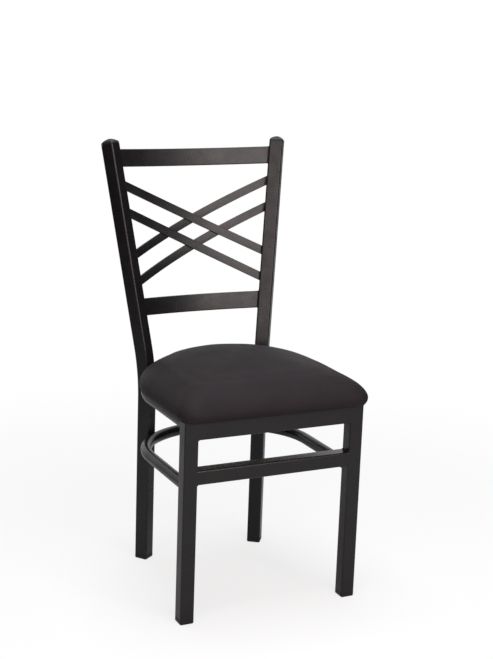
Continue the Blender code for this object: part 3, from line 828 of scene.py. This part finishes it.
def without_slivers(mesh):
    """The mesh with its needle-thin faces closed up, in triangles that are shaded smooth."""
    maker = bmesh.new()
    maker.from_mesh(mesh)
    bmesh.ops.triangulate(maker, faces=[face for face in maker.faces if len(face.verts) > 4])
    bmesh.ops.dissolve_degenerate(maker, dist=SLIVER, edges=maker.edges)
    bmesh.ops.triangulate(maker, faces=maker.faces)
    for face in maker.faces:
        face.smooth = True
    maker.to_mesh(mesh)
    maker.free()
    return mesh


def add_cushion(material):
    """The stuffed seat in one piece, round its board; gives the loop of its hem."""
    skin, hem = outer_skin()
    bottom = min(vert.co.z for vert in skin.verts)
    mesh = even_pad(skin, bottom)
    mesh, amounts = pushed_out(mesh, bottom)
    move_out(mesh, with_room(mesh, amounts, bottom))
    mesh = subdivided(mesh)
    move_out(mesh, gathers_and_dimples(mesh, bottom))
    cushion = new_piece("seat_cushion", hollowed(mesh, hem, bottom), material)
    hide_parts("seat_cover", "seat_foam")
    return hem


# Welds


def end_loop(rail, post):
    """The outline of a rail's end where it meets a post, in order."""
    post_tree = tree_of(post)
    body = merged(rail)
    points = []
    for vert in body.verts:
        distance = post_tree.find_nearest(vert.co, JOINT_REACH)[3]
        if distance is not None:
            points.append(vert.co.copy())
    body.free()
    middle = middle_of(points)
    arm = max((point - middle for point in points), key=lambda arm: arm.length)
    normal = max((arm.cross(point - middle) for point in points), key=lambda cross: cross.length)
    first = arm.normalized()
    second = normal.normalized().cross(first)
    flat = [((point - middle).dot(first), (point - middle).dot(second)) for point in points]
    return [points[number] for number in convex_hull_2d(flat)]


def side_welds(hoop, upright):
    """Two short paths, above and below the tube, where a hoop passes against an upright."""
    post_tree = tree_of(upright)
    hoop_tree = tree_of(hoop)
    body = merged(hoop)
    near = [post_tree.find_nearest(vert.co) for vert in body.verts]
    body.free()
    face, outward, _, _ = min(near, key=lambda found: found[3])
    outward = Vector((outward.x, outward.y, 0)).normalized()
    along = Vector((-outward.y, outward.x, 0))
    low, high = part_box(hoop)
    middle_height = (low.z + high.z) / 2
    paths = []
    for drop in (-SIDE_WELD_DROP, SIDE_WELD_DROP):
        path = []
        for step in range(-SIDE_WELD_STEPS, SIDE_WELD_STEPS + 1):
            start = face + along * (SIDE_WELD_HALF * step / SIDE_WELD_STEPS)
            start.z = middle_height + drop
            hit = hoop_tree.ray_cast(start - outward * FLUSH, outward, SIDE_WELD_GAP)[0]
            if hit is not None:
                path.append((start + hit) / 2)
        if len(path) > 1:
            paths.append(path)
    return paths


def open_loop(loop, keep):
    """The parts of a closed loop whose points pass a test, each as an open path."""
    paths = []
    count = len(loop)
    starts = [number for number in range(count) if keep(loop[number]) and not keep(loop[number - 1])]
    for start in starts:
        path = []
        number = start
        while keep(loop[number % count]) and len(path) < count:
            path.append(loop[number % count])
            number += 1
        if len(path) > 1:
            paths.append(path)
    return paths


def tube_weld_paths():
    """Paths along the frame's joints, but for the front faces, which are ground flush."""
    paths = []
    for rail, leg in FLUSH_JOINTS:
        loop = end_loop(rail, leg)
        front = min(point.y for point in loop) + FLUSH
        paths += open_loop(loop, lambda point: point.y > front)
    paths += [closed(end_loop(tube, post)) for tube, post in ROUND_JOINTS]
    for hoop in HOOPS:
        for upright in UPRIGHTS:
            paths += side_welds(hoop, upright)
    return paths


def bar_weld_paths():
    return [closed(end_loop(bar, upright)) for bar in CROSS_BARS for upright in UPRIGHTS]


def nearest_of_face(node, front, x):
    """Where the flat front face of a tube starts, on the side that looks at x."""
    verts = NODES[node].data.vertices
    places = [vert.co.x for vert in verts if vert.co.y - front < FILL_PROUD]
    return min(places, key=lambda place: abs(place - x))


def rail_end(rail, side):
    """The outline of a front rail's end, in order."""
    body = merged(rail)
    reach = max(vert.co.x * side for vert in body.verts)
    points = [vert.co.copy() for vert in body.verts if reach - vert.co.x * side < MERGE]
    body.free()
    return [points[number] for number in convex_hull_2d([(point.y, point.z) for point in points])]


def add_fill(maker, rail, leg):
    """Weld metal from a front rail's end to a leg, a hair proud of their front faces."""
    side = Vector((1 if leg.endswith("right") else -1, 0, 0))
    loop = rail_end(rail, side.x)
    middle = middle_of(loop)
    leg_tree = tree_of(leg)
    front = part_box(leg)[0].y
    flat_edge = nearest_of_face(leg, front, middle.x)
    rings = ([], [])
    for point in loop:
        inwards = Vector((0, middle.y - point.y, middle.z - point.z)).normalized()
        hit = leg_tree.ray_cast(point + inwards * FILL_OVERLAP, side, FILL_REACH)[0]
        on_front = point.y - front < FILL_OVERLAP
        level = point.y - FILL_PROUD if on_front else point.y
        end = flat_edge if on_front else hit.x
        rings[0].append(maker.verts.new((point.x - side.x * FILL_OVERLAP, level, point.z)))
        rings[1].append(maker.verts.new((end + side.x * FILL_OVERLAP, level, point.z)))
    join_rings(maker, *rings)


def flush_joints():
    """The weld metal of the front rails' joints, ground level with their front faces."""
    maker = bmesh.new()
    for rail, leg in FLUSH_JOINTS:
        add_fill(maker, rail, leg)
    bmesh.ops.recalc_face_normals(maker, faces=maker.faces)
    for face in maker.faces:
        face.smooth = True
    for edge in maker.edges:
        edge.smooth = edge.calc_face_angle(pi) < SHARP_FOLD
    return mesh_of(maker, "flush_joints")


# Studio


def direction(azimuth, elevation):
    return Vector((sin(azimuth) * cos(elevation), -cos(azimuth) * cos(elevation), sin(elevation)))


def add_camera():
    lens = bpy.data.cameras.new("camera")
    lens.lens = FOCAL_LENGTH
    camera = loose_object("camera", lens)
    back = direction(CAMERA_AZIMUTH, CAMERA_ELEVATION)
    camera.location = CAMERA_TARGET + back * CAMERA_DISTANCE
    camera.rotation_mode = "QUATERNION"
    level = (-back).to_track_quat("-Z", "Y")
    camera.rotation_quaternion = level @ Quaternion((0, 0, 1), CAMERA_ROLL)
    bpy.context.scene.camera = camera


def seen_directly(path, in_gloss=1.0):
    """1 for what the camera or a clear body shows of the room, 0 for the light that falls on things."""
    tree = path.id_data
    gloss = maths(tree, "MULTIPLY", path.outputs["Is Glossy Ray"], in_gloss)
    straight = maths(tree, "MAXIMUM", path.outputs["Is Camera Ray"], gloss)
    return maths(tree, "MAXIMUM", straight, path.outputs["Is Transmission Ray"])


def blend_tones(tree, share, first, second):
    """A colour mix; the mix node's input 0 is the share, and 6 and 7 are its two colours."""
    return put(tree, "ShaderNodeMix", {0: share, 6: first, 7: second}, data_type="RGBA").outputs[2]


def add_room():
    world = bpy.data.worlds.new("studio")
    tree = bare_tree(world)
    tone = blend_tones(tree, seen_directly(put(tree, "ShaderNodeLightPath")), ROOM_FILL, PAPER_WHITE)
    background = put(tree, "ShaderNodeBackground", {"Color": tone, "Strength": 1.0})
    put(tree, "ShaderNodeOutputWorld", {"Surface": background.outputs[0]})
    bpy.context.scene.world = world


def white_paper():
    """White paper that keeps a soft shadow near the chair and runs out to plain white."""
    material = bpy.data.materials.new("white_paper")
    tree = bare_tree(material)
    path = put(tree, "ShaderNodeLightPath")
    tone = blend_tones(tree, path.outputs["Is Camera Ray"], FLOOR_BOUNCE, FLOOR_TONE)
    lit = put(tree, "ShaderNodeBsdfDiffuse", {"Color": tone})
    plain = put(tree, "ShaderNodeEmission", {"Color": PAPER_WHITE, "Strength": 1.0})
    place = put(tree, "ShaderNodeTexCoord").outputs["Object"]
    distance = put(tree, "ShaderNodeVectorMath", {0: place}, operation="LENGTH").outputs["Value"]
    near, far = SHADOW_REACH
    fade = {"Value": distance, "From Min": near, "From Max": far, "To Min": 1 - SHADOW_SHARE, "To Max": 1.0}
    share = put(tree, "ShaderNodeMapRange", fade, interpolation_type="SMOOTHSTEP").outputs["Result"]
    factor = maths(tree, "MULTIPLY", share, seen_directly(path, FLOOR_IN_GLOSS))
    mix = put(tree, "ShaderNodeMixShader", {0: factor, 1: lit.outputs[0], 2: plain.outputs[0]})
    put(tree, "ShaderNodeOutputMaterial", {"Surface": mix.outputs[0]})
    return material


def dark_cloth():
    material = bpy.data.materials.new("dark_cloth")
    tree = bare_tree(material)
    cloth = put(tree, "ShaderNodeBsdfDiffuse", {"Color": PANEL_TONE})
    put(tree, "ShaderNodeOutputMaterial", {"Surface": cloth.outputs[0]})
    return material


def add_plane(name, size, location, material):
    maker = bmesh.new()
    bmesh.ops.create_grid(maker, x_segments=1, y_segments=1, size=HALF_METRE)
    bmesh.ops.scale(maker, vec=(*size, 1), verts=maker.verts)
    plane = loose_object(name, mesh_of(maker, name))
    plane.data.materials.append(material)
    plane.location = location
    return plane


def add_panels():
    """Dark cloth at both sides, out of the camera's sight, that the tubes' gloss shows."""
    cloth = dark_cloth()
    middle = Vector((0, 0, PANEL_SIZE[1] / 2 + PANEL_LIFT))
    for number, turn in enumerate(PANEL_TURNS):
        place = direction(turn, 0) * PANEL_DISTANCE + middle
        panel = add_plane(f"dark_panel_{number}", PANEL_SIZE, place, cloth)
        panel.rotation_euler = (pi / 2, 0, turn)
        panel.visible_camera = False
        panel.visible_shadow = False


def add_lamps():
    middle = (CAD_BOX[0] + CAD_BOX[1]) / 2
    for name, (azimuth, elevation, size, power, colour) in LAMPS.items():
        light = bpy.data.lights.new(name, "AREA")
        light.shape = "RECTANGLE"
        light.size, light.size_y = size
        light.energy = power
        light.color = colour
        lamp = loose_object(name, light)
        lamp.location = middle + direction(azimuth, elevation) * LAMP_DISTANCE
        lamp.rotation_euler = (middle - lamp.location).to_track_quat("-Z", "Y").to_euler()


# The chair

POWDER = powder_coat()
VINYL = upholstery_vinyl()
ZINC = zinc_plate()
FINISHES = {
    "steel_frame": POWDER,
    "plastic_ends": moulded_plastic(),
    "seat_vinyl": VINYL,
    "seat_padding": VINYL,
    "seat_plywood": raw_plywood(),
    "screw_zinc": ZINC,
}
COAT = coat_tree()
for part in frame["record"]["subparts"]:
    finish_node(part["node"], FINISHES[part["material_slot"]], COAT)

hem_loop = add_cushion(VINYL)
new_piece("flush_joints", flush_joints(), POWDER)
RIPPLES = ripple_tree()
for weld_name, weld_paths, radius, seed in (
    ("frame_welds", tube_weld_paths(), FRAME_BEAD, FRAME_SEED),
    ("bar_welds", bar_weld_paths(), BAR_BEAD, BAR_SEED),
):
    values = {"Bead Radius": radius, "Pitch": radius * BEAD_PITCH_SHARE, "Seed": seed, "Finish": POWDER}
    add_row(weld_name, weld_paths, RIPPLES, values)
staple_loop = grown(hem_loop, STAPLE_INSET)
add_row("hem_staples", [closed(staple_loop)], staple_tree(), {"Finish": ZINC})

# The studio

add_camera()
add_room()
add_plane("floor", FLOOR_SIZE, Vector(), white_paper())
add_lamps()
add_panels()
bpy.context.scene.view_settings.view_transform = "Standard"
